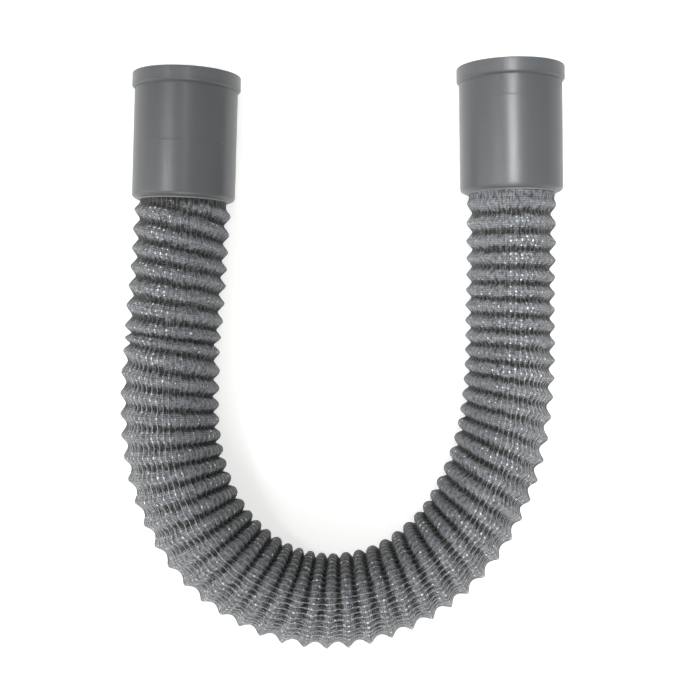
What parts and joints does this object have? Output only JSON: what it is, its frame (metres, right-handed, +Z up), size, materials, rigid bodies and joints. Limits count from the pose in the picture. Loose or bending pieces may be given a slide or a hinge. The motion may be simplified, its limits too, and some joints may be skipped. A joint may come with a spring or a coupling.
{
  "type": "sewer hose kit",
  "caption": "Corrugated mesh-covered waste hose bent into a U, with a grey swivelling pipe collar on each end.",
  "frame": {"origin": "on the floor, midway between the two collars", "axes": "+X from the left collar to the right one, +Y out of the collars' mouths, +Z up from the floor that the kit lies on"},
  "size_m": [0.4261, 0.559, 0.1036],
  "materials": {
    "collar_plastic": "moulded mid-grey ABS, satin gloss with a soft sheen and fine scuffs on the lip",
    "cuff_plastic": "moulded light grey, plain",
    "ring_plastic": "natural acetal, off-white",
    "seal_rubber": "black nitrile rubber",
    "hose_cloth": "clear-coated grey mesh cloth over a film, glossy at the yarns",
    "spring_wire": "bright spring steel wire",
    "hose_film": "dark grey film, smooth"
  },
  "bodies": {
    "right_leg": {"right_cuff": "cuff_plastic", "right_retaining_ring": "ring_plastic", "right_swivel_seal": "seal_rubber", "hose_cover_right": "hose_cloth", "hose_wire_right": "spring_wire", "hose_liner_right": "hose_film", "hose_cover_bend": "hose_cloth", "hose_wire_bend": "spring_wire", "hose_liner_bend": "hose_film"},
    "left_leg": {"left_cuff": "cuff_plastic", "left_retaining_ring": "ring_plastic", "left_swivel_seal": "seal_rubber", "hose_cover_left": "hose_cloth", "hose_wire_left": "spring_wire", "hose_liner_left": "hose_film"},
    "left_collar": {"left_collar": "collar_plastic"},
    "right_collar": {"right_collar": "collar_plastic"}
  },
  "joints": [
    {"name": "hose_flex", "type": "hinge", "parent": "right_leg", "child": "left_leg", "pos_m": [-0.004, -0.447, 0.046], "axis": [0, 0, 1], "range_deg": [-20, 45], "deforming": ["hose_cover_bend", "hose_wire_bend", "hose_liner_bend"]},
    {"name": "left_swivel", "type": "hinge", "parent": "left_leg", "child": "left_collar", "pos_m": [-0.15826, -0.06355, 0.04912], "axis": [0.0316, 0.9992, 0.0239], "continuous": true},
    {"name": "right_swivel", "type": "hinge", "parent": "right_leg", "child": "right_collar", "pos_m": [0.15736, -0.05588, 0.04912], "axis": [-0.0139, 0.9996, 0.0239], "continuous": true}
  ]
}
